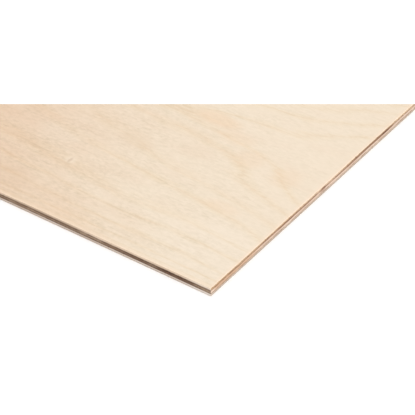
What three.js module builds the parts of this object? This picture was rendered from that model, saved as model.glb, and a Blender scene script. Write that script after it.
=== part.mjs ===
// Thin birch plywood sheet, 600 x 300 x 4 mm.
//
// Three rotary-cut veneers are glued face to face. The core is laid with its grain across the
// other two, which keeps the sheet flat. After pressing, the stack is sawn square on its four
// sides and sanded on both faces.
//
// Millimetres. The grain of the two outer veneers runs along X, that of the core along Y, and
// the sheet lies flat with Z up. The origin is the middle of the underside.

import { BoxGeometry, Group, Mesh, MeshStandardMaterial } from 'three'

// The panel as it is cut to size.
const sheetLength = 600
const sheetWidth = 300

// The veneers as they are in the finished sheet. The outer two start as thick as the core, and
// sanding takes them down, the face a little further.
const backThickness = 1.25
const coreThickness = 1.6
const faceThickness = 1.15

// Sanding also breaks the sharp edge all round both faces.
const arrisRadius = 0.25
const arrisFacets = 3

// Birch: the faces are pale and satin. The core shows only its sawn end and side grain, which
// drink more glue and dust and are darker.
const birchFace = { color: '#f3e2cd', roughness: 0.55 }
const birchCore = { color: '#a98a70', roughness: 0.8 }
const birchBack = { color: '#e9d5bd', roughness: 0.6 }

// The height of each veneer's lower and upper side.
const backLevels = { lower: 0, upper: backThickness }
const coreLevels = { lower: backLevels.upper, upper: backLevels.upper + coreThickness }
const faceLevels = { lower: coreLevels.upper, upper: coreLevels.upper + faceThickness }

// A sawn square side: the outline is the same at the bottom and at the top.
function squareEdge({ lower, upper }) {
  return [
    { level: lower, inset: 0 },
    { level: upper, inset: 0 },
  ]
}

// A side that is square up to the arris and then turns into the upper face on a quarter round.
function easedUpperEdge({ lower, upper }) {
  const radius = Math.min(arrisRadius, (upper - lower) / 2)
  const rings = [{ level: lower, inset: 0 }]
  for (let step = 0; step <= arrisFacets; step++) {
    const turn = (step / arrisFacets) * (Math.PI / 2)
    rings.push({
      level: upper - radius + radius * Math.sin(turn),
      inset: radius - radius * Math.cos(turn),
    })
  }
  return rings
}

// The same edge turned over, for the veneer whose outer side faces down.
function easedLowerEdge({ lower, upper }) {
  const upright = easedUpperEdge({ lower: -upper, upper: -lower })
  return upright.map(({ level, inset }) => ({ level: -level, inset })).reverse()
}

// Lofts the sheet's rectangle through a list of rings, from the lowest to the highest. A box
// with one row of facets between each two rings has just the corners that this needs.
function loftSheet(rings) {
  const rows = rings.length - 1
  const geometry = new BoxGeometry(1, 1, 1, 1, 1, rows)
  const corners = geometry.attributes.position
  for (let i = 0; i < corners.count; i++) {
    const ring = rings[Math.round((corners.getZ(i) + 0.5) * rows)]
    corners.setXYZ(
      i,
      Math.sign(corners.getX(i)) * (sheetLength / 2 - ring.inset),
      Math.sign(corners.getY(i)) * (sheetWidth / 2 - ring.inset),
      ring.level,
    )
  }
  geometry.computeVertexNormals()
  return geometry
}

function veneer(name, rings, { color, roughness }) {
  const material = new MeshStandardMaterial({ color, roughness, metalness: 0 })
  const mesh = new Mesh(loftSheet(rings), material)
  mesh.name = name
  return mesh
}

const sheet = new Group()
sheet.add(
  veneer('back_veneer', easedLowerEdge(backLevels), birchBack),
  veneer('core_veneer', squareEdge(coreLevels), birchCore),
  veneer('face_veneer', easedUpperEdge(faceLevels), birchFace),
)

export default sheet
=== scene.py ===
"""A thin birch plywood sheet: sanded face and back veneers, glued to a cross-laid core."""
import math

import bmesh
import bpy
from mathutils import Matrix, Vector, noise


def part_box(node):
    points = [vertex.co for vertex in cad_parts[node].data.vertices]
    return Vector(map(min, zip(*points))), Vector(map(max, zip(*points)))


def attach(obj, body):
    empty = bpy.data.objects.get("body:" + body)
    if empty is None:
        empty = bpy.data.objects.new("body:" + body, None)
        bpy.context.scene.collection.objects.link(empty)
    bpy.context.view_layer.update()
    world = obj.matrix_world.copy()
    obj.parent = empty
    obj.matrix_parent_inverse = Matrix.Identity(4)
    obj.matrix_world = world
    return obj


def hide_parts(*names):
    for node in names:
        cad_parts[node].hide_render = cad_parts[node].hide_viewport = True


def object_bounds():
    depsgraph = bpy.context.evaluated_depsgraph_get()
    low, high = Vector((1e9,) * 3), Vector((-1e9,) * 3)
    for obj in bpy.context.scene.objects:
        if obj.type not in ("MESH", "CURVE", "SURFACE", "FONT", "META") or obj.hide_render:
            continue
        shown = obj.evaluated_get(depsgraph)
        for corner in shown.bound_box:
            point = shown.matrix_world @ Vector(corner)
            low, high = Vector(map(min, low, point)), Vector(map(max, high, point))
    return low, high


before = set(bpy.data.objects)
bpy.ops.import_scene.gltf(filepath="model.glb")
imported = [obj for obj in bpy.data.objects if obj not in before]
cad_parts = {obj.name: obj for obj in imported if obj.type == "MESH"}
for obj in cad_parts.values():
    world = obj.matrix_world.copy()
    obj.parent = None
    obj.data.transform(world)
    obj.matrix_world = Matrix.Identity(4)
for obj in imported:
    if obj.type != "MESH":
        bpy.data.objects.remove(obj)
cad_low, cad_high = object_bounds()


# ---------------------------------------------------------------------------------------------
# Camera. It stands off the corner between the +X end and the -Y long edge, and looks down on it
# through a long lens.

MM = 0.001

corner = Vector((cad_high.x, cad_low.y, 0))
camera_from_corner = Vector((314.8, -445.1, 464.7)) * MM
camera_down_tilt = math.radians(37.78)
camera_turn = math.radians(35.40)

camera = bpy.data.objects.new("camera", bpy.data.cameras.new("camera"))
camera.location = corner + camera_from_corner
camera.rotation_euler = (math.pi / 2 - camera_down_tilt, 0, camera_turn)
camera.data.sensor_width = 36
camera.data.lens = 166.5
camera.data.clip_start = 1 * MM
camera.data.clip_end = 20
bpy.context.scene.collection.objects.link(camera)
bpy.context.scene.camera = camera


# ---------------------------------------------------------------------------------------------
# Face veneer. Birch is peeled from a turning log, so the knife runs along the growth rings and
# they show as wide, wandering figure. It is glued on with its grain along the sheet, sanded
# satin, and sawn through with the rest, which leaves a slightly eased arris.

def linear(hex_colour):
    """Turns an sRGB hex colour into the linear RGBA that a shader socket takes."""
    channels = [int(hex_colour[i:i + 2], 16) / 255 for i in (1, 3, 5)]
    return [c / 12.92 if c <= 0.04045 else ((c + 0.055) / 1.055) ** 2.4 for c in channels] + [1]


def new_material(name):
    material = bpy.data.materials.new(name)
    material.use_nodes = True
    material.node_tree.nodes.clear()
    return material


def add_node(material, kind, inputs=None, **settings):
    """Adds a shader node. An input is a plain value, an output, or a node whose first output in
    use feeds it, and it goes by its name or its number."""
    node = material.node_tree.nodes.new("ShaderNode" + kind)
    for name, value in settings.items():
        setattr(node, name, value)
    for key, value in (inputs or {}).items():
        named = [s for s in node.inputs if s.enabled and s.name == key]
        socket = named[0] if named else node.inputs[key]
        if isinstance(value, bpy.types.Node):
            value = next(s for s in value.outputs if s.enabled)
        if isinstance(value, bpy.types.NodeSocket):
            material.node_tree.links.new(value, socket)
        else:
            socket.default_value = value
    return node


def place_on_sheet(material):
    """Mm in from the +X end, mm in from the -Y edge, and mm above the underside."""
    place = add_node(material, "TexCoord").outputs["Object"]
    return add_node(
        material, "Mapping",
        {"Vector": place, "Location": (cad_high.x / MM, -cad_low.y / MM, 0),
         "Scale": (-1 / MM, 1 / MM, 1 / MM)})


def grain(material, size_mm, seed, detail=2.0, roughness=0.5):
    """Noise with blotches about as large as size_mm along X, Y and Z."""
    place = add_node(
        material, "Mapping",
        {"Vector": place_on_sheet(material), "Location": (seed, seed * 2, seed * 3),
         "Scale": [1 / size for size in size_mm]})
    return add_node(
        material, "TexNoise",
        {"Vector": place, "Scale": 1.0, "Detail": detail, "Roughness": roughness})


def ring_figure(material, seed, amber, late, section, swells, shallowest):
    """The growth rings of a flat veneer: how strongly they show, and the colour they multiply by.

    The knife cuts the rings at a grazing angle. section gives how many rings deep it lies at
    places across the sheet, in mm from the -Y edge. A swell is a hump in the log, which lifts
    the rings round one point: how many rings, its middle and its spread in mm along and across.
    On top of the highest the knife runs flat along one ring, at the shallowest depth. A ring's
    edge shows wherever the depth is a whole number: a thin dark line of late wood, with amber
    wood on both sides.
    """
    place = add_node(material, "SeparateXYZ", {"Vector": place_on_sheet(material)})
    along, across = place.outputs["X"], place.outputs["Y"]
    width = (cad_high.y - cad_low.y) / MM
    part_way = add_node(material, "Math", {0: across, 1: width}, operation="DIVIDE")
    profile = add_node(material, "FloatCurve", {"Value": part_way})
    points = profile.mapping.curves[0].points
    deepest = max(depth for _, depth in section)
    while len(points) < len(section):
        points.new(0.5, 0.5)
    for point, (from_edge, depth) in zip(points, section):
        point.location = from_edge / width, depth / deepest
    profile.mapping.update()
    depth = add_node(material, "Math", {0: profile, 1: deepest}, operation="MULTIPLY")

    for height, middle, spread in swells:
        off = 0.0
        for where, centre, reach in zip((along, across), middle, spread):
            share = add_node(material, "Math", {0: where, 1: centre}, operation="SUBTRACT")
            share = add_node(material, "Math", {0: share, 1: reach}, operation="DIVIDE")
            off = add_node(
                material, "Math", {0: share, 1: share, 2: off}, operation="MULTIPLY_ADD")
        hump = add_node(material, "Math", {0: off, 1: -0.5}, operation="MULTIPLY")
        hump = add_node(material, "Math", {0: hump}, operation="EXPONENT")
        depth = add_node(
            material, "Math", {0: hump, 1: -height, 2: depth}, operation="MULTIPLY_ADD")
    flattening = 0.9   # rings over which a swell's top turns flat
    depth = add_node(
        material, "Math", {0: depth, 1: shallowest, 2: flattening}, operation="SMOOTH_MAX")

    # Further up the sheet the log's other hollows take over. The fibres wander everywhere. A
    # wander has the size of its waves in mm, its swing in rings, where it counts, and its place
    # in the log.
    from_corner = add_node(
        material, "VectorMath", {0: place_on_sheet(material)}, operation="LENGTH")
    further = add_node(
        material, "MapRange",
        {"Value": from_corner.outputs["Value"], "From Min": 150.0, "From Max": 330.0},
        interpolation_type="SMOOTHSTEP")
    wanders = (
        ((330, 75, 90), 13.0, further, 13.0),
        ((60, 14, 90), 0.6, 1.0, 5.5),
        ((12, 1.3, 90), 0.4, 1.0, 17.5))
    for size_mm, swing, share, place_in_log in wanders:
        wander = add_node(
            material, "Math", {0: grain(material, size_mm, seed + place_in_log), 1: 0.5},
            operation="SUBTRACT")
        wander = add_node(material, "Math", {0: wander, 1: share}, operation="MULTIPLY")
        depth = add_node(
            material, "Math", {0: wander, 1: swing, 2: depth}, operation="MULTIPLY_ADD")

    ring = add_node(material, "Math", {0: depth}, operation="ROUND")
    off_edge = add_node(material, "Math", {0: depth, 1: ring}, operation="SUBTRACT")
    through_ring = add_node(material, "Math", {0: off_edge, 1: 0.5}, operation="ADD")
    shade = add_node(material, "ValToRGB", {"Fac": through_ring})
    # From the middle of one ring to the middle of the next.
    ring_wood = (
        (0.2, "#ffffff"), (0.41, amber), (0.5, late), (0.58, amber), (0.75, "#ffffff"))
    shade.color_ramp.interpolation = "EASE"
    while len(shade.color_ramp.elements) < len(ring_wood):
        shade.color_ramp.elements.new(0.5)
    for stop, (position, colour) in zip(shade.color_ramp.elements, ring_wood):
        stop.position = position
        stop.color = linear(colour)
    # No two rings are as dark, and each fades in and out along its length.
    season = add_node(material, "TexWhiteNoise", {"W": ring}, noise_dimensions="1D")
    season = add_node(material, "MapRange", {"Value": season, "To Min": 0.75})
    fade = add_node(
        material, "MapRange",
        {"Value": grain(material, (45, 16, 90), seed + 13), "From Min": 0.32, "From Max": 0.68,
         "To Min": 0.65})
    strength = add_node(material, "Math", {0: season, 1: fade}, operation="MULTIPLY")
    # The dark wood lies in separate fibres.
    fibres = add_node(
        material, "MapRange",
        {"Value": grain(material, (13, 0.9, 90), seed + 6, 3.0), "From Min": 0.38,
         "From Max": 0.62, "To Min": 0.5, "To Max": 1.0})
    strength = add_node(material, "Math", {0: strength, 1: fibres}, operation="MULTIPLY")
    return strength, shade


def near(material, middle, reach):
    """1 round a point of the sheet, falling to 0 at reach mm along, across and up from it."""
    full_within = 0.35   # of the reach
    place = add_node(
        material, "Mapping",
        {"Vector": place_on_sheet(material), "Scale": [1 / r for r in reach],
         "Location": [-m / r for m, r in zip(middle, reach)]})
    off = add_node(material, "VectorMath", {0: place}, operation="LENGTH")
    return add_node(
        material, "MapRange",
        {"Value": off.outputs["Value"], "From Min": full_within, "From Max": 1.0,
         "To Min": 1.0, "To Max": 0.0},
        interpolation_type="SMOOTHSTEP")


def with_stains_and_shade(wood, ground, stains_and_shade):
    """Wood with stains and patches of painted shade on it: each has a middle and a reach in mm, a
    colour and a strength.
    """
    for middle, reach, colour, share in stains_and_shade:
        shape = add_node(
            wood, "Math", {0: near(wood, middle, reach), 1: share}, operation="MULTIPLY")
        ground = add_node(
            wood, "Mix", {"Factor": shape, "A": ground, "B": linear(colour)}, data_type="RGBA")
    return ground


def sanded_birch(name, seed, rings, knots, pale, warm, amber, late, fibre, edge_rim, flushes=()):
    """Bare birch sanded with a fine grit: pale cream and satin, with little contrast.

    amber and late are what each growth ring multiplies the ground by, and fibre what the fibres
    and open vessels do. The rim colour is what the face turns towards within 2 mm of the sawn
    edges. A flush is a stretch of the log that was paler or browner than the wood round it.
    """
    wood = new_material(name)
    # The log's tinge deepens up the sheet, a little aslant, pales again, and drifts. A drift has
    # the size of its patches in mm, its swing and its place in the log.
    aslant = (1, -0.63, 0)
    up_sheet = add_node(
        wood, "VectorMath", {0: place_on_sheet(wood), 1: aslant},
        operation="DOT_PRODUCT").outputs["Value"]
    tinge = add_node(
        wood, "MapRange", {"Value": up_sheet, "From Min": 0.0, "From Max": 160.0},
        interpolation_type="SMOOTHSTEP")
    paling = add_node(
        wood, "MapRange", {"Value": up_sheet, "From Min": 180.0, "From Max": 430.0, "To Max": 0.6},
        interpolation_type="SMOOTHSTEP")
    tinge = add_node(wood, "Math", {0: tinge, 1: paling}, operation="SUBTRACT")
    drifts = ((150, 45, 90), 0.5, 2.0), ((22, 7, 90), 0.45, 9.0)
    for size_mm, swing, place_in_log in drifts:
        drift = add_node(
            wood, "Math", {0: grain(wood, size_mm, seed + place_in_log), 1: 0.5},
            operation="SUBTRACT")
        tinge = add_node(
            wood, "Math", {0: drift, 1: swing, 2: tinge}, operation="MULTIPLY_ADD")
    ground = add_node(
        wood, "Mix", {"Factor": tinge, "A": linear(pale), "B": linear(warm)}, data_type="RGBA")
    ground = with_stains_and_shade(wood, ground, flushes)
    strength, ring_wood = ring_figure(wood, seed, amber, late, *rings)
    ground = add_node(
        wood, "Mix", {"Factor": strength, "A": ground, "B": ring_wood}, data_type="RGBA",
        blend_type="MULTIPLY")

    # Fibres and open vessels are finer than they can show, so they are drawn a little coarse.
    # The third row is of pith flecks, the short dark dashes that a cambium grub leaves. Each has
    # its size in mm, the noise at which it starts and is full, and its strength.
    fibres = 0.0
    streaks = (
        ((4, 1.5, 2), 0.38, 0.72, 0.5),
        ((1.6, 1.0, 2), 0.38, 0.72, 0.55),
        ((16, 1.0, 2), 0.62, 0.74, 0.45))
    for size_mm, least, most, share in streaks:
        streak = add_node(
            wood, "MapRange",
            {"Value": grain(wood, size_mm, seed + 30 * share, 3.0), "From Min": least,
             "From Max": most, "To Max": share})
        fibres = add_node(wood, "Math", {0: streak, 1: fibres}, operation="ADD")
    # They stand out in patches, and more where the wood is browner.
    contrast = add_node(
        wood, "MapRange",
        {"Value": up_sheet, "From Min": -50.0, "From Max": 60.0, "To Min": 0.45, "To Max": 1.05})
    patchy = add_node(
        wood, "MapRange",
        {"Value": grain(wood, (24, 8, 90), seed + 11), "From Min": 0.35, "From Max": 0.65,
         "To Min": 0.65, "To Max": 1.35})
    contrast = add_node(wood, "Math", {0: contrast, 1: patchy}, operation="MULTIPLY")
    shown_fibres = add_node(wood, "Math", {0: fibres, 1: contrast}, operation="MULTIPLY")
    ground = add_node(
        wood, "Mix", {"Factor": shown_fibres, "A": ground, "B": linear(fibre)}, data_type="RGBA",
        blend_type="MULTIPLY", clamp_factor=False)

    # The face turns paler in a rim that fades out 2 mm in from the edges.
    place = add_node(wood, "SeparateXYZ", {"Vector": place_on_sheet(wood)})
    from_edges = []
    for axis in (0, 1):
        near_edge = place.outputs[axis]
        far_edge = add_node(
            wood, "Math", {0: (cad_high - cad_low)[axis] / MM, 1: near_edge},
            operation="SUBTRACT")
        from_edges.append(
            add_node(wood, "Math", {0: near_edge, 1: far_edge}, operation="MINIMUM"))
    from_edge = add_node(
        wood, "Math", {0: from_edges[0], 1: from_edges[1]}, operation="MINIMUM")
    rim = add_node(
        wood, "MapRange",
        {"Value": from_edge, "From Min": 0.5, "From Max": 2.0, "To Min": 0.4, "To Max": 0.0})
    ground = add_node(
        wood, "Mix", {"Factor": rim, "A": ground, "B": linear(edge_rim)}, data_type="RGBA")

    # Pin knots: a dark eye with paler, harder wood round it.
    for middle, size_mm in knots:
        halo = middle, (2.2 * size_mm, 1.8 * size_mm, 50), "#fbeedd", 0.28
        eye = middle, (0.6 * size_mm, 1.6 * size_mm, 50), "#b8936e", 0.3
        ground = with_stains_and_shade(wood, ground, (halo, eye))

    roughness = add_node(
        wood, "MapRange", {"Value": fibres, "To Min": 0.5, "To Max": 0.62, "From Max": 1.5})
    bump = add_node(wood, "Bump", {"Height": fibres, "Distance": 0.008 * MM, "Strength": 0.6})
    shader = add_node(
        wood, "BsdfPrincipled",
        {"Base Color": ground, "Roughness": roughness, "Normal": bump, "IOR": 1.5,
         "Specular IOR Level": 0.3})
    add_node(wood, "OutputMaterial", {"Surface": shader})
    return wood


def sawn_birch(
        name, seed, streak_mm, patch_mm, pale, dark, patched, glue, glue_mm, glue_share, stains_and_shade):
    """Birch left by a fine saw: matt and darker than the sanded face.

    It is streaked between pale and dark, turns patched here and there, and takes the colour of
    the glue near each glue line: fully as far off as the first of glue_mm, and less up to the
    second. glue_share is how much of it shows, where there is least and most. A stain is a
    stretch that glue or dust has darkened, or that is cleaner. Some stains are painted shade:
    along the foot, and in torn-out spots. Hollows in the sawn edge are darkened towards the
    glue's colour, as dust in them and painted shade.
    """
    wood = new_material(name)
    streaks = add_node(
        wood, "MapRange",
        {"Value": grain(wood, streak_mm, seed, 3.0), "From Min": 0.35, "From Max": 0.65})
    ground = add_node(
        wood, "Mix", {"Factor": streaks, "A": linear(pale), "B": linear(dark)}, data_type="RGBA")
    patches = add_node(
        wood, "MapRange",
        {"Value": grain(wood, patch_mm, seed + 4, 2.0), "From Min": 0.42, "From Max": 0.62})
    ground = add_node(
        wood, "Mix", {"Factor": patches, "A": ground, "B": linear(patched)}, data_type="RGBA")
    ground = with_stains_and_shade(wood, ground, stains_and_shade)

    height = add_node(wood, "SeparateXYZ", {"Vector": place_on_sheet(wood)}).outputs["Z"]
    soaked = add_node(
        wood, "MapRange",
        {"Value": grain(wood, (4.5, 4.5, 3), seed + 8, 3.0, 0.7), "From Min": 0.40,
         "From Max": 0.58, "To Min": glue_share[0], "To Max": glue_share[1]})
    # The glue lines are the core's underside and its top.
    for glue_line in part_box("core_veneer"):
        off = add_node(wood, "Math", {0: height, 1: glue_line.z / MM}, operation="SUBTRACT")
        off = add_node(wood, "Math", {0: off}, operation="ABSOLUTE")
        film = add_node(
            wood, "MapRange",
            {"Value": off, "From Min": glue_mm[0], "From Max": glue_mm[1], "To Min": 1.0,
             "To Max": 0.0})
        film = add_node(wood, "Math", {0: film, 1: soaked}, operation="MULTIPLY")
        ground = add_node(
            wood, "Mix", {"Factor": film, "A": ground, "B": linear(glue)}, data_type="RGBA")

    # Hollows take the glue's colour: dust in them, and painted shade.
    hollow = add_node(wood, "Attribute", attribute_name="hollow").outputs["Fac"]
    dust_and_shade = add_node(
        wood, "MapRange",
        {"Value": hollow, "From Min": 0.03, "From Max": 0.35, "To Max": 0.85})
    ground = add_node(
        wood, "Mix", {"Factor": dust_and_shade, "A": ground, "B": linear(glue)}, data_type="RGBA")
    shader = add_node(
        wood, "BsdfPrincipled",
        {"Base Color": ground, "Roughness": 0.8, "IOR": 1.5, "Specular IOR Level": 0.3})
    add_node(wood, "OutputMaterial", {"Surface": shader})
    return wood


# The glue is a resin film that soaks into both veneers and cures dark and matt. Between the
# veneers it is out of sight.
glue_film = new_material("cured resin glue film")
glue_shader = add_node(
    glue_film, "BsdfPrincipled", {"Base Color": linear("#6a4a35"), "Roughness": 0.6})
add_node(glue_film, "OutputMaterial", {"Surface": glue_shader})


def saw_marks(along, height, seed):
    """Mm that the saw has cut below the edge's high spots: its teeth's scratches, which lean
    with the feed and are drawn coarser than they are, and the feed's slow wander."""
    tooth_pitch = 0.9
    tooth_length = 5
    tooth_lean = 0.3
    tooth_depth = 0.014
    feed_pitch = 24
    feed_depth = 0.012
    leaning = along + tooth_lean * height
    scratch = noise.noise(Vector((leaning / tooth_pitch, height / tooth_length, seed)))
    wander = noise.noise(Vector((along / feed_pitch, 0, seed)))
    return tooth_depth * (1 + scratch) + feed_depth * (1 + wander)


def lathe_checks(along, height, seed):
    """Mm deep of the short slanting cracks that peeling leaves in end grain."""
    pitch = 2.6
    lean = 0.9
    half_width = 0.4
    deepest = 0.11
    leaning = along + lean * height
    number = math.floor(leaning / pitch)
    chance = noise.cell(Vector((number + 0.5, seed, 0.5)))
    middle = (number + 0.25 + 0.5 * chance) * pitch
    open_here = noise.noise(Vector((along / 3, height / 0.8, seed + 3))) > -0.1
    return deepest * max(0, 1 - abs(leaning - middle) / half_width) * open_here


cell = 6 * MM           # quads on the flat faces
edge_pitch = 0.3 * MM   # facets along the sawn edges
row_height = 0.3 * MM   # and up them
arris = 0.25 * MM
flat = 0.99             # a facet lies flat where its normal rises or sinks more than this
turned_out = 0.3        # and is part of a side where its normal turns out more than this


def sawn_veneer(node, outer, end_material, side_material, cap_material, end_grain, pits=()):
    """A closed slab where the CAD node is, sawn on four sides.

    outer is 1 if its top is open to the air, -1 if its underside is, and 0 for a core. end_grain
    is the axis on whose sides the fibres are cut across. A pit is a torn-out hollow: the axis
    of its side, whether it is on the low or high one, mm along from the near corner, mm up, its
    half length, half height and depth in mm.
    """
    low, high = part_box(node)
    size = high - low

    slab = bmesh.new()
    bmesh.ops.create_grid(
        slab, x_segments=round(size.x / cell), y_segments=round(size.y / cell), size=0.5)
    bmesh.ops.translate(slab, vec=(0.5, 0.5, 0), verts=slab.verts)
    bmesh.ops.scale(slab, vec=(size.x, size.y, 1), verts=slab.verts)
    bmesh.ops.translate(slab, vec=low, verts=slab.verts)
    raised = bmesh.ops.extrude_face_region(slab, geom=slab.faces[:], use_keep_orig=True)["geom"]
    raised_verts = [v for v in raised if isinstance(v, bmesh.types.BMVert)]
    bmesh.ops.translate(slab, vec=(0, 0, size.z), verts=raised_verts)
    bmesh.ops.recalc_face_normals(slab, faces=slab.faces)
    if outer:
        open_level = high.z if outer > 0 else low.z
        slab.normal_update()
        rim = [
            e for e in slab.edges if e.calc_face_angle(0) > math.radians(45)
            and all(abs(v.co.z - open_level) < 0.001 * MM for v in e.verts)]
        bmesh.ops.bevel(
            slab, geom=rim, offset=arris, offset_type="OFFSET", segments=3, profile=0.5,
            affect="EDGES", material=-1)

    def edge_lines(axis):
        """The edges that run along an axis and border a sawn side or an arris."""
        slab.normal_update()
        return [
            e for e in slab.edges
            if abs((e.verts[1].co - e.verts[0].co).normalized()[axis]) > 0.999
            and any(abs(f.normal.z) < flat for f in e.link_faces)]

    for axis in (0, 1):
        bmesh.ops.subdivide_edges(
            slab, edges=edge_lines(axis), cuts=round(cell / edge_pitch) - 1)
    bmesh.ops.subdivide_edges(slab, edges=edge_lines(2), cuts=round(size.z / row_height) - 1)
    slab.normal_update()

    # The square arrises at the glue lines and the sheet's four corners stay sharp.
    for edge in slab.edges:
        edge.smooth = edge.calc_face_angle(0) < math.radians(50)

    # The saw and the peeling leave the sides a little below the CAD node's, never above. Each
    # point keeps how deep it lies, for the dust and painted shade in its hollow.
    hollow = slab.verts.layers.float.new("hollow")
    moves = {}
    for side in (0, 1):
        for is_high in (False, True):
            level = (high if is_high else low)[side]
            on_side = {
                v for f in slab.faces if abs(f.normal[side]) > turned_out
                for v in f.verts if abs(v.co[side] - level) < arris * 1.01}
            seed = 10 * side + 5 * is_high + low.z / MM
            for vert in on_side:
                along = abs(vert.co[1 - side] - corner[1 - side]) / MM
                height = vert.co.z / MM
                cut = saw_marks(along, height, seed)
                if side == end_grain:
                    cut += lathe_checks(along, height, seed)
                for pit_side, pit_high, pit_along, pit_up, half_long, half_high, deep in pits:
                    if (side, is_high) == (pit_side, pit_high):
                        off = math.hypot(
                            (along - pit_along) / half_long, (height - pit_up) / half_high)
                        cut += deep * max(0, 1 - off * off)
                vert[hollow] = max(vert[hollow], cut)
                moves.setdefault(vert, Vector())[side] = -cut * MM if is_high else cut * MM
    for vert, move in moves.items():
        vert.co += move

    # The bake's map is a stack of strips. It gives the sawn sides far more than their share of
    # the height, and the glued faces next to none.
    open_strip = 0.74
    glued_strip = 0.02
    side_margin = 0.004
    strip_margin = 0.06
    strips = {
        (2, True): open_strip if outer > 0 else glued_strip,
        (2, False): open_strip if outer < 0 else glued_strip}
    for side in (0, 1):
        for is_high in (False, True):
            strips[side, is_high] = (1 - strips[2, True] - strips[2, False]) / 4
    starts = {key: sum(list(strips.values())[:i]) for i, key in enumerate(strips)}
    layer = slab.loops.layers.uv.new("OFBake")
    end_index, side_index, cap_index, glue_index = range(4)
    slab.normal_update()
    for face in slab.faces:
        axis = max(range(3), key=lambda i: abs(face.normal[i]))
        strip = axis, face.normal[axis] > 0
        across, up = (1 if axis == 0 else 0), (1 if axis == 2 else 2)
        for loop in face.loops:
            part = [(c - l) / s for c, l, s in zip(loop.vert.co, low, size)]
            up_strip = strip_margin + (1 - 2 * strip_margin) * part[up]
            loop[layer].uv = (
                side_margin + (1 - 2 * side_margin) * part[across],
                starts[strip] + strips[strip] * up_strip)

        # The arris is sanded with the open face, apart from its facet nearest the side.
        level = abs(face.normal.z)
        is_open = face.normal.z * outer > 0
        if level > flat and not is_open:
            face.material_index = glue_index
        elif level > 0.5:
            face.material_index = cap_index
        else:
            face.material_index = (end_index, side_index)[axis]
        face.smooth = level < flat

    mesh = bpy.data.meshes.new(node + "_birch")
    slab.to_mesh(mesh)
    slab.free()
    for material in (end_material, side_material, cap_material, glue_film):
        mesh.materials.append(material)
    piece = bpy.data.objects.new(node + "_birch", mesh)
    bpy.context.scene.collection.objects.link(piece)
    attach(piece, "root")
    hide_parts(node)
    return piece


face_section = (
    (0, 12.3), (5.5, 8.9), (12, 8), (20, 7.3), (32, 6.1), (49, 5.6), (63, 4.4), (78, 3.1),
    (91, 2.05), (99, 3.1), (108, 3.7), (118, 4.3), (126, 4.8), (133, 5), (143, 5.9), (180, 8.2),
    (215, 9.4), (250, 7.6), (300, 11))
face_swells = (
    (5.7, (-42, 92), (37, 37)), (1.2, (45, 53), (47, 10)), (0.7, (50, 102), (16, 10)),
    (0.45, (65, 24), (21, 9)))
face_shallowest = 1.35

# The stretches of the log that differ from the wood round them.
paler = "#f8ead8"
browner = "#e3c7ab"
ambered = "#f1cfab"
face_birch = sanded_birch(
    "sanded birch, face", 1.0, rings=(face_section, face_swells, face_shallowest),
    knots=(((93, 32.8, 4), 1.6), ((236, 205, 4), 1.5), ((402, 88, 4), 1.2), ((534, 238, 4), 1.6)),
    pale="#f4e3cd", warm="#e9caae", amber="#fdfbf6", late="#f8f2e8", fibre="#f0efea",
    edge_rim="#fde3c9",
    flushes=(((8, 19, 4), (38, 27, 9), paler, 0.35),
             ((60, 24, 4), (32, 9, 9), paler, 0.14),
             ((108, 47, 4), (16, 10, 9), paler, 0.22),
             ((107, 11, 4), (15, 11, 9), browner, 0.4),
             ((79, 59, 4), (13, 8, 9), browner, 0.25),
             ((54, 67, 4), (12, 6, 9), browner, 0.2),
             ((60, 91, 4), (15, 6, 9), ambered, 0.4),
             ((46, 84, 4), (12, 6, 9), ambered, 0.2),
             ((34, 75, 4), (9, 9, 9), ambered, 0.2),
             ((15, 73, 4), (9, 9, 9), ambered, 0.2),
             ((25, 43, 4), (11, 5, 9), ambered, 0.2),
             ((70, 4, 4), (20, 6, 9), ambered, 0.15)))
face_side = sawn_birch(
    "sawn birch, face side", 11.0, (9, 9, 0.3), (40, 40, 6), pale="#e6cfb8", dark="#dcc2a8",
    patched="#d8bfa6", glue="#6b503c", glue_mm=(0.12, 0.34), glue_share=(0.5, 0.9),
    stains_and_shade=(((80, 0, 2.95), (30, 9, 1.4), "#8f745d", 0.42),
            ((54, 0, 2.95), (8, 9, 0.6), "#efdcc6", 0.5),
            ((1, 0, 3.4), (14, 9, 2.0), "#f6e8d8", 0.55)))
face_end = sawn_birch(
    "sawn birch, face end", 15.0, (0.6, 0.6, 1.2), (20, 20, 6), pale="#d2b494", dark="#bd9c7b",
    patched="#c1a282", glue="#6e4429", glue_mm=(0.12, 0.38), glue_share=(0.1, 1.0),
    stains_and_shade=(((0, 6, 3.6), (9, 14, 1.2), "#b0855c", 0.35),
            ((0, 45, 2.95), (9, 24, 0.6), "#80553a", 0.5),
            ((0, 78, 3.5), (9, 26, 1.0), "#e2c8b0", 0.4),
            ((0, 12, 2.95), (9, 6, 0.6), "#80553a", 0.4),
            ((0, 38, 2.95), (9, 3, 0.6), "#6e4429", 0.6),
            ((0, 77.5, 2.95), (9, 2.2, 0.8), "#6e4429", 0.7),
            ((0, 42, 2.95), (9, 4, 0.6), "#cba988", 0.5),
            ((0, 117, 3.1), (9, 30, 1.2), "#96765b", 0.85),
            ((0, 125, 2.95), (9, 4, 0.6), "#5f3a25", 0.6),
            ((0, 139, 3.1), (9, 12, 1.4), "#d0b292", 0.75)))

face = sawn_veneer("face_veneer", 1, face_end, face_side, face_birch, end_grain=0)


# ---------------------------------------------------------------------------------------------
# Core veneer. A thicker peeled veneer laid with its grain across the sheet. The long edges cut
# its fibres across, which shows dark and open, with torn spots; the ends show it lengthwise.

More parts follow.
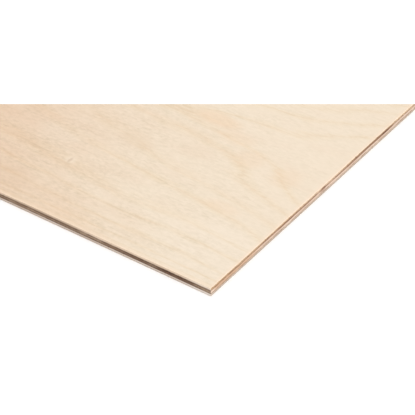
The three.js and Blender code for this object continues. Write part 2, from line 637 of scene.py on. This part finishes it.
core_side = sawn_birch(
    "sawn birch, core end grain", 21.0, (0.7, 0.7, 1.5), (11, 11, 6), pale="#ab937c",
    dark="#957b65", patched="#8b715b", glue="#5d4332", glue_mm=(0.2, 0.7),
    glue_share=(0.3, 0.8),
    stains_and_shade=(((26, 0, 2.1), (22, 9, 9), "#5c402f", 0.38),
            ((19, 0, 2.1), (12, 9, 9), "#5c402f", 0.42),
            ((24, 0, 2.8), (27, 9, 0.6), "#46291b", 0.45),
            ((77, 0, 2.75), (11, 9, 0.6), "#5d4332", 0.5),
            ((57, 0, 2.6), (8, 9, 0.6), "#c3aa92", 0.6),
            ((70, 0, 2.2), (9, 9, 1.2), "#5d4332", 0.3),
            ((2, 0, 1.4), (9, 9, 1.2), "#c4ac95", 0.15),
            ((27, 0, 2.3), (3, 9, 1.0), "#ab937c", 0.4),
            # These three darkest spots, 10 to 20 mm in, are dark end grain with painted shade in
            # the torn-out pits there.
            ((10, 0, 2.3), (3, 9, 0.9), "#4a3122", 0.45),
            ((20, 0, 2.3), (4, 9, 0.9), "#3a2316", 0.6),
            ((14, 0, 2.3), (3, 9, 0.9), "#3f2719", 0.35),
            ((39, 0, 2.0), (6, 9, 0.9), "#5c402f", 0.3),
            ((55, 0, 1.3), (14, 9, 0.5), "#6d5442", 0.5)))
core_end = sawn_birch(
    "sawn birch, core long grain", 25.0, (9, 9, 0.3), (12, 12, 5), pale="#ebd3bf",
    dark="#dcc2ad", patched="#d6bba6", glue="#7d543a", glue_mm=(0.05, 0.4),
    glue_share=(0.0, 0.9),
    stains_and_shade=(((0, 14, 2.0), (9, 24, 9), "#c79f7c", 0.7),
            ((0, 38, 2.85), (9, 20, 0.6), "#80553a", 0.5),
            ((0, 56, 2.75), (9, 22, 0.7), "#7d5238", 0.65),
            ((0, 104, 2.8), (9, 46, 0.8), "#7d5238", 0.68),
            ((0, 132, 2.75), (9, 24, 0.6), "#6e4429", 0.6),
            ((0, 68, 2.75), (9, 10, 0.5), "#7d5238", 0.4),
            ((0, 77, 2.4), (9, 3, 1.2), "#7d5238", 0.5),
            ((0, 18.5, 2.75), (9, 3, 0.5), "#6e4429", 0.5),
            ((0, 42, 2.75), (9, 4, 0.6), "#d9bda6", 0.4),
            ((0, 53, 2.75), (9, 3, 0.5), "#5f3a25", 0.65),
            ((0, 125, 2.75), (9, 4, 0.6), "#4f2f1e", 0.75),
            ((0, 139, 2.7), (9, 12, 0.8), "#e4ccb7", 0.75),
            ((0, 0, 2.0), (9, 4, 2), "#ecd8c6", 0.6)))

core = sawn_veneer(
    "core_veneer", 0, core_end, core_side, glue_film, end_grain=1,
    pits=((1, False, 14.0, 2.1, 0.9, 0.6, 0.5), (1, False, 20.0, 2.2, 1.2, 0.6, 0.6),
          (1, False, 212.0, 1.9, 1.6, 0.5, 0.5), (1, True, 96.0, 2.0, 1.3, 0.6, 0.6),
          (1, True, 371.0, 2.2, 1.0, 0.5, 0.5)))


# ---------------------------------------------------------------------------------------------
# Back veneer. The same peeled birch as the face, of a plainer grade: a little darker and
# greyer, with a few more knots. It lies on the floor.

back_section = (
    (0, 3), (40, 7), (85, 9), (130, 6), (170, 1.2), (182, 0.8), (215, 5), (260, 9), (300, 11))
back_swells = ((3.0, (330, 180), (70, 40)),)
back_shallowest = -2.0
back_birch = sanded_birch(
    "sanded birch, back", 41.0, rings=(back_section, back_swells, back_shallowest),
    knots=(((70, 210, 0), 1.6), ((188, 60, 0), 1.2), ((301, 255, 0), 2.2), ((455, 120, 0), 1.5)),
    pale="#efdcc6", warm="#e0c4a6", amber="#fdf8ee", late="#f4eae0", fibre="#eeece6",
    edge_rim="#fbe6cc")
back_side = sawn_birch(
    "sawn birch, back side", 31.0, (9, 9, 0.3), (40, 40, 6), pale="#dfd0c4", dark="#d2c0b2",
    patched="#c9b5a6", glue="#7d604a", glue_mm=(0.05, 0.25), glue_share=(0.1, 0.4),
    stains_and_shade=(((118, 0, 0.6), (60, 9, 1.2), "#b5a294", 0.15),
            ((77, 0, 1.3), (24, 9, 0.7), "#efe4dc", 0.4),
            ((1, 0, 0.8), (14, 9, 1.5), "#f6ebe2", 0.6),
            # Painted contact shadow: the long side's foot darkens within 0.6 mm of the floor.
            ((60, 0, 0.1), (260, 9, 0.6), "#a08d7d", 0.45)))
back_end = sawn_birch(
    "sawn birch, back end", 35.0, (0.6, 0.6, 1.2), (20, 20, 6), pale="#d6c4b2", dark="#c6b29f",
    patched="#c6b29f", glue="#7b5a42", glue_mm=(0.06, 0.4), glue_share=(0.2, 0.65),
    # The first stain is painted contact shadow: the end's foot darkens within 0.7 mm of the floor.
    stains_and_shade=(((0, 75, 0.05), (9, 260, 0.68), "#84705d", 0.8),
            ((0, 0, 0.8), (9, 4, 0.6), "#e0d0c0", 0.6)))

back = sawn_veneer("back_veneer", -1, back_end, back_side, back_birch, end_grain=0)


# ---------------------------------------------------------------------------------------------
# Floor and light: white paper under an even white room and a soft lamp so far off that it lights
# the sheet and the paper alike from end to end.

def seen_directly(material):
    """1 for the rays that show a backdrop as such: the camera's, and those off metal or glass."""
    rays = add_node(material, "LightPath")
    seen = add_node(
        material, "Math",
        {0: rays.outputs["Is Camera Ray"], 1: rays.outputs["Is Glossy Ray"]},
        operation="MAXIMUM")
    return add_node(
        material, "Math", {0: seen, 1: rays.outputs["Is Transmission Ray"]},
        operation="MAXIMUM")


backdrop_white = 1.1      # a hair over white, so that the backdrop stays even to its borders
shaded_strip = 2.5 * MM   # how far out the sheet shades the paper close beside itself
shaded_glow = 0.12
open_glow = 0.26
room_glow = 0.5

paper = new_material("white paper")
lit_paper = add_node(paper, "BsdfDiffuse", {"Color": linear("#ececec")})
# Seen directly it glows a little, so that it shows white all round, and least in the strip.
from_middle = add_node(
    paper, "VectorMath",
    {0: add_node(paper, "TexCoord").outputs["Object"], 1: (cad_low + cad_high) / 2},
    operation="SUBTRACT")
from_middle = add_node(paper, "VectorMath", {0: from_middle}, operation="ABSOLUTE")
off_sheet = add_node(
    paper, "VectorMath", {0: from_middle, 1: (cad_high - cad_low) / 2}, operation="SUBTRACT")
off_sheet = add_node(paper, "SeparateXYZ", {"Vector": off_sheet})
off_sheet = add_node(
    paper, "Math", {0: off_sheet.outputs["X"], 1: off_sheet.outputs["Y"]}, operation="MAXIMUM")
lift = add_node(
    paper, "MapRange",
    {"Value": off_sheet, "From Min": 0.0, "From Max": shaded_strip, "To Min": shaded_glow,
     "To Max": open_glow})
lift = add_node(paper, "Math", {0: lift, 1: seen_directly(paper)}, operation="MULTIPLY")
bright_paper = add_node(paper, "Emission", {"Color": linear("#ffffff"), "Strength": lift})
paper_surface = add_node(paper, "AddShader", {0: lit_paper, 1: bright_paper})
add_node(paper, "OutputMaterial", {"Surface": paper_surface})

floor_half = 4   # metres
floor_shape = bmesh.new()
bmesh.ops.create_grid(floor_shape, x_segments=1, y_segments=1, size=floor_half)
floor_mesh = bpy.data.meshes.new("floor")
floor_shape.to_mesh(floor_mesh)
floor_shape.free()
floor_mesh.materials.append(paper)
floor = bpy.data.objects.new("floor", floor_mesh)
bpy.context.scene.collection.objects.link(floor)

room = bpy.data.worlds.new("white room")
bpy.context.scene.world = room
room.use_nodes = True
room.node_tree.nodes.clear()
room_level = add_node(
    room, "MapRange",
    {"Value": seen_directly(room), "To Min": room_glow, "To Max": backdrop_white})
room_light = add_node(room, "Background", {"Color": linear("#ffffff"), "Strength": room_level})
add_node(room, "OutputWorld", {"Surface": room_light})

lamp = bpy.data.objects.new("softbox", bpy.data.lights.new("softbox", "SUN"))
lamp.data.angle = math.radians(31)
lamp.data.energy = 2.3
lamp.location = (2.1, -1.1, 2.4)
lamp.rotation_euler = lamp.location.to_track_quat("Z", "Y").to_euler()
bpy.context.scene.collection.objects.link(lamp)

# A small white card close before the lens masks the top of the view, as a matte box would. The
# rest of the sheet lies behind it.
frame_side = 415   # pixels
masked_rows = 104
card_ahead = 5 * MM
half_view = card_ahead * camera.data.sensor_width / 2 / camera.data.lens
card_half = 1.2 * half_view

card_white = new_material("white card")
card_glow = add_node(
    card_white, "Emission", {"Color": linear("#ffffff"), "Strength": backdrop_white})
add_node(card_white, "OutputMaterial", {"Surface": card_glow})

card_shape = bmesh.new()
bmesh.ops.create_grid(card_shape, x_segments=1, y_segments=1, size=card_half)
card_bottom = half_view * (1 - 2 * masked_rows / frame_side)
bmesh.ops.translate(
    card_shape, vec=(0, card_bottom + card_half, -card_ahead), verts=card_shape.verts)
bmesh.ops.transform(
    card_shape, matrix=Matrix.LocRotScale(camera.location, camera.rotation_euler, None),
    verts=card_shape.verts)
card_mesh = bpy.data.meshes.new("mask_card")
card_shape.to_mesh(card_mesh)
card_shape.free()
card_mesh.materials.append(card_white)
card = bpy.data.objects.new("mask_card", card_mesh)
card.visible_diffuse = False
card.visible_glossy = False
card.visible_shadow = False
bpy.context.scene.collection.objects.link(card)

bpy.context.scene.view_settings.view_transform = "Standard"
